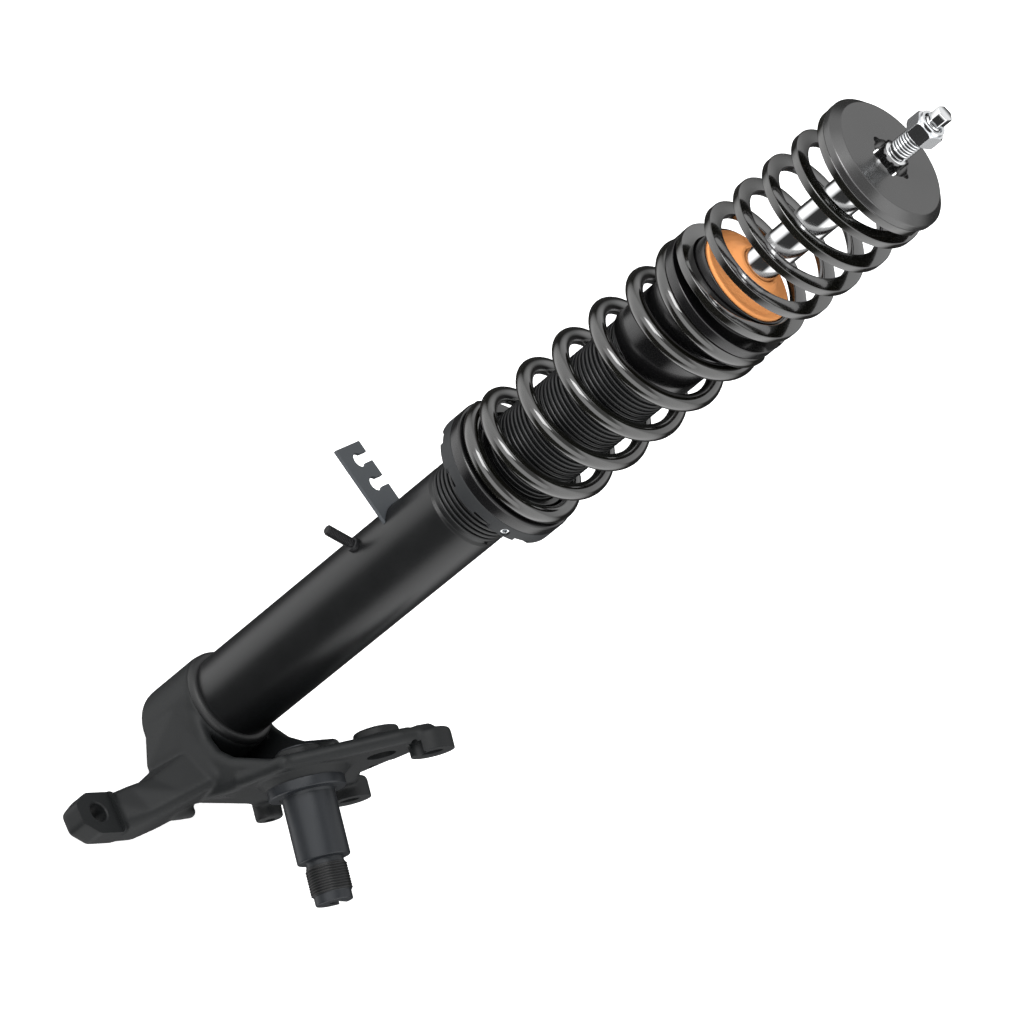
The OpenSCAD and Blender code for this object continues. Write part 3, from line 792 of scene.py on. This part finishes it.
def adjuster_collar():
    """The height collar: notches for a pin spanner in its lower edge, and a grub screw's hole."""
    bore, r = TUBE_R + 0.05, COLLAR_HIGH.x
    bm = turned([(bore, COLLAR_LOW.z), (r - 4, COLLAR_LOW.z, 0.6), (r, COLLAR_LOW.z + 3, 0.8),
                 (r, COLLAR_HIGH.z, 0.5), (bore, COLLAR_HIGH.z)], 144, radius=0.3)
    collar = finish_mesh("collar", bm, M["blasted"])
    cutters = []
    for opening in frame["record"]["physics"]["openings"]:
        if opening["name"].startswith("spanner_notch"):
            low, high = [Vector(corner) for corner in opening["box_m"]]
            centre = (low + high) / 2
            turn = Matrix.Rotation(math.atan2(centre.y, centre.x), 4, "Z")
            cutters.append(block((30, 44), (-5.5, 5.5), (COLLAR_LOW.z - 3, COLLAR_LOW.z + 5), turn))
    low, high = low_high("grub_screw")
    way = (low + high) / 2
    turn = UP.rotation_difference(Vector((way.x, way.y, 0))).to_matrix().to_4x4()
    cutters.append(drill(2.6, 20, 60, Matrix.Translation((0, 0, way.z)) @ turn, around=32))
    cut(collar, *cutters)
    modify(collar, "BEVEL", width=0.25 * MM, segments=2, limit_method="ANGLE", angle_limit=math.radians(40))
    shade(collar, 32)
    done(collar, "adjuster_collar", "collar")


def coupler():
    r, bore, sleeve = COUPLER_HIGH.x, 28, 29.2
    low, high = COUPLER_LOW.z, COUPLER_HIGH.z
    bm = turned([(bore, low), (sleeve, low, 0.4), (sleeve, FLANGE_LOW, 0.3), (r, FLANGE_LOW, 0.8),
                 (r, FLANGE_TOP, 0.8), (sleeve, FLANGE_TOP, 0.3), (sleeve, high, 0.5), (bore, high, 0.3)],
                128, radius=0.3)
    done(finish_mesh("coupler", bm, M["anodised"]), "spring_coupler", "coupler")


def springs():
    """Both springs, each swept along a coil with closed ends."""
    wire = 9.2
    path = coil_path(SPRING_R + wire / 2, turns=6.5, start_deg=TOP_TURN + 180, low=SEAT_Z + wire / 2,
                     high=FLANGE_LOW - wire / 2, flat=0.35, ramp=0.55)
    main = swept("main", path, ROUND_BAR, wire, 0, M["spring"])
    done(main, "main_spring", "seat")
    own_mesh(main)
    width, height = 8.4, 4.6
    path = coil_path(SPRING_R + width / 2, turns=5.95, start_deg=TOP_TURN, low=FLANGE_TOP + height / 2,
                     high=PLATE_UNDER - height / 2, flat=0.25, ramp=0.45)
    helper = swept("helper", path, FLAT_BAR, width, height, M["spring"])
    done(helper, "helper_spring", "coupler")
    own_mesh(helper)


# ---------------------------------------------------------------- top end

def top_plate():
    """The plate over the helper spring, with its locating ring below and a scalloped hole."""
    top, r, hole, ring = PLATE_HIGH.z, PLATE_HIGH.x, 11.2, (26.5, 29.1)
    bm = turned([(hole, PLATE_UNDER), (ring[0], PLATE_UNDER, 0.3), (ring[0], PLATE_LOW.z, 0.4),
                 (ring[1], PLATE_LOW.z, 0.6), (ring[1], PLATE_UNDER, 0.2), (r, PLATE_UNDER, 0.7),
                 (r, PLATE_UNDER + 4, 1.2), (r - 4.9, top, 1.2), (r - 7, top, 0), (16, top, 0),
                 (hole, top, 0.3)], 160, radius=0.3, steps=5)
    plate = finish_mesh("plate", bm, M["plate"])
    scallop = circle(2.8, 32, (10.6, 0))
    cutters = [finish_mesh("cutter", prism(scallop, PLATE_UNDER - 2, top + 4), M["steel"],
                           Matrix.Rotation(math.radians(TOP_TURN + 60 * k), 4, "Z")) for k in range(6)]
    cut(plate, *cutters)
    shade(plate, 28)
    modify(plate, "WEIGHTED_NORMAL", keep_sharp=True)
    done(plate, "top_plate", "top")


def piston_rod():
    """The rod: piston spigot, chromed length, 14 mm neck, M12 thread and a hexagon to hold it by."""
    spigot, chromed, neck, crest, root = 5, 10, 7, 6, 5
    step, neck_low, neck_high, thread_end = ROD_LOW.z + 32, 566, 582.8, 609.6
    bm = turned([(0, ROD_LOW.z), (spigot, ROD_LOW.z), (spigot, step), (chromed, step, 0.8),
                 (chromed, neck_low, 1), (neck, neck_low + 1, 0.3), (neck, neck_high, 0.4),
                 (root, neck_high + 0.6, 0.2), (root, thread_end, 0.4), (4.4, thread_end + 0.6, 0),
                 (0, thread_end + 0.6)], 96, radius=0.3)
    rod = finish_mesh("rod", bm, M["chrome"])
    # A near-black sleeve in the thread roots between the zinc crests: painted shade.
    groove = finish_mesh("groove", turned([(4, 584), (5.05, 584), (5.05, 609.4), (4, 609.4)], 64, radius=0),
                         M["thread_black"])
    ridge = thread("rod_thread", crest, 1.75, 585, 608.6, M["zinc"], per_turn=48)
    corner = 8.6 / 2 / math.cos(math.radians(30))
    hexagon = prism(circle(corner, 6, start=math.radians(33)), 610, ROD_HIGH.z)
    tip = finish_mesh("tip", hexagon, M["chrome"])
    modify(tip, "BEVEL", width=0.5 * MM, segments=3, limit_method="ANGLE", angle_limit=math.radians(40))
    done(join("piston_rod", rod, groove, ridge, tip), "piston_rod", "rod")


# ---------------------------------------------------------------- build

knuckle()
stub_axle()
strut_tube()
tube_weld()
threaded_stud()
machined("hose_bracket", M["sheet"], "housing", 0.3)
cap_nut()
bump_stop()
spring_seat()
adjuster_collar()
machined("grub_screw", M["zinc"], "collar", 0.15)
coupler()
springs()
top_plate()
piston_rod()
machined("top_nut", M["zinc"], "rod", 0.25, 25)
for node, finish in HIDDEN_FINISH.items():
    mesh = frame["nodes"][node].data
    mesh.materials.clear()
    mesh.materials.append(M[finish])


# ---------------------------------------------------------------- floor, light and camera

def floor():
    """A plain pale floor under the knuckle, which glossy surfaces don't mirror."""
    bm = bmesh.new()
    bmesh.ops.create_circle(bm, cap_ends=True, segments=96, radius=12)      # in metres
    mesh = bpy.data.meshes.new("floor")
    bm.to_mesh(mesh)
    bm.free()
    plane = bpy.data.objects.new("floor", mesh)
    plane.location.z = CAD_BOX[0].z
    bpy.context.scene.collection.objects.link(plane)
    mat = bpy.data.materials.new("pale_floor")
    mat.use_nodes = True
    shader = mat.node_tree.nodes["Principled BSDF"]
    shader.inputs["Base Color"].default_value = linear("f4f4f4")
    shader.inputs["Roughness"].default_value = 0.9
    shader.inputs["Emission Color"].default_value = (1, 1, 1, 1)
    shader.inputs["Emission Strength"].default_value = 0.72
    mesh.materials.append(mat)
    plane.visible_glossy = False
    plane.visible_shadow = False


# Each soft light: its turn about the strut from the camera's side, half its width and the softness of its
# edge, all in degrees, and its brightness.
SOFT_LIGHTS = [(-78, 28, 20, 1.5), (82, 28, 20, 1.7)]
# The light over the camera: half its width in degrees, the heights of its lower and upper edge as sines, and
# its brightness.
FRONT_LIGHT = (58, -0.2, 0.6, 1.8)
AMBIENT = 0.04
CEILING = (1.0, 0.35)       # brightness overhead, beyond the strut and on the camera's side
CAMERA_RIGHT = Vector((0.39388, 0.65186, 0.64802))
CAMERA_UP = Vector((-0.85107, -0.00765, 0.52500))
CAMERA_BACK = CAMERA_RIGHT.cross(CAMERA_UP).normalized()
CAMERA_PLACE = Vector((0.96138, -2.05592, 1.77116))
CAMERA_SIDE = Vector((CAMERA_BACK.x, CAMERA_BACK.y, 0)).normalized()


def studio():
    """A dark studio: a tall soft light on each side of the strut, one over the camera, and a dim ceiling."""
    world = bpy.data.worlds.new("studio")
    bpy.context.scene.world = world
    world.use_nodes = True
    tree = world.node_tree
    tree.nodes.clear()

    def blend(value, start, end, low=0.0, high=1.0):
        """A value eased from low to high as it goes from start to end."""
        return add(tree, "ShaderNodeMapRange", {"interpolation_type": "SMOOTHSTEP"}, Value=value, _1=start,
                   _2=end, _3=low, _4=high).outputs["Result"]

    def lobe(cosine, half, edge, strength):
        """A light of a half width and a soft edge, both in degrees."""
        return blend(cosine, math.cos(math.radians(half + edge)), math.cos(math.radians(half - edge)), 0.0,
                     strength)

    def combine(operation, a, b):
        return add(tree, "ShaderNodeMath", {"operation": operation}, _0=a, _1=b).outputs[0]

    def vector(operation, *inputs):
        keyed = {f"_{i}": value for i, value in enumerate(inputs)}
        return add(tree, "ShaderNodeVectorMath", {"operation": operation}, **keyed).outputs

    way = add(tree, "ShaderNodeTexCoord").outputs["Generated"]
    height = add(tree, "ShaderNodeSeparateXYZ", Vector=way).outputs["Z"]
    flat = vector("MULTIPLY", way, (1, 1, 0))["Vector"]
    level = vector("NORMALIZE", flat)["Vector"]
    facing = vector("DOT_PRODUCT", level, CAMERA_SIDE)["Value"]

    total = 0.0
    for turn, half, edge, strength in SOFT_LIGHTS:
        side = Matrix.Rotation(math.radians(turn), 3, "Z") @ CAMERA_SIDE
        toward = vector("DOT_PRODUCT", level, side)["Value"]
        total = combine("ADD", total, lobe(toward, half, edge, strength))
    half, low, high, strength = FRONT_LIGHT
    across = lobe(facing, half, 8, strength)
    over = blend(height, low - 0.06, low + 0.06)
    under = blend(height, high - 0.08, high + 0.08, 1.0, 0.0)
    front = combine("MULTIPLY", across, combine("MULTIPLY", over, under))
    roof = add(tree, "ShaderNodeMapRange", Value=facing, _1=-0.6, _2=0.6, _3=CEILING[0], _4=CEILING[1])
    above = blend(height, 0.15, 0.5, AMBIENT, roof.outputs["Result"])
    bright = combine("MAXIMUM", combine("MAXIMUM", total, front), above)
    eye = add(tree, "ShaderNodeLightPath").outputs["Is Camera Ray"]
    seen = add(tree, "ShaderNodeMix", {"data_type": "FLOAT"}, _0=eye, _2=bright, _3=1.0)
    sky = add(tree, "ShaderNodeBackground", Color=(1, 1, 1, 1), Strength=seen.outputs[0])
    add(tree, "ShaderNodeOutputWorld", Surface=sky.outputs["Background"])


def camera():
    data = bpy.data.cameras.new("camera")
    data.lens, data.sensor_width = 180, 36
    data.clip_start, data.clip_end = 0.1, 60
    eye = bpy.data.objects.new("camera", data)
    eye.matrix_world = columns(CAMERA_RIGHT, CAMERA_BACK.cross(CAMERA_RIGHT), CAMERA_BACK, CAMERA_PLACE)
    bpy.context.scene.collection.objects.link(eye)
    bpy.context.scene.camera = eye


LAMP_AIM = Vector((0, 0, 0.3))      # about the strut's middle, in metres


def lamp(name, direction, distance, size, strength):
    """A square soft light, strength being the brightness of its face."""
    data = bpy.data.lights.new(name, "AREA")
    data.size = size
    data.energy = strength * math.pi * size * size
    light = bpy.data.objects.new(name, data)
    direction = Vector(direction).normalized()
    light.location = LAMP_AIM + direction * distance
    light.rotation_euler = direction.to_track_quat("Z", "Y").to_euler()
    light.visible_camera = False
    bpy.context.scene.collection.objects.link(light)


floor()
studio()
camera()
key_side = Matrix.Rotation(math.radians(-45), 3, "Z") @ CAMERA_SIDE
lamp("key", key_side + UP, distance=2.2, size=1.0, strength=7.0)
bpy.context.scene.view_settings.view_transform = "Standard"
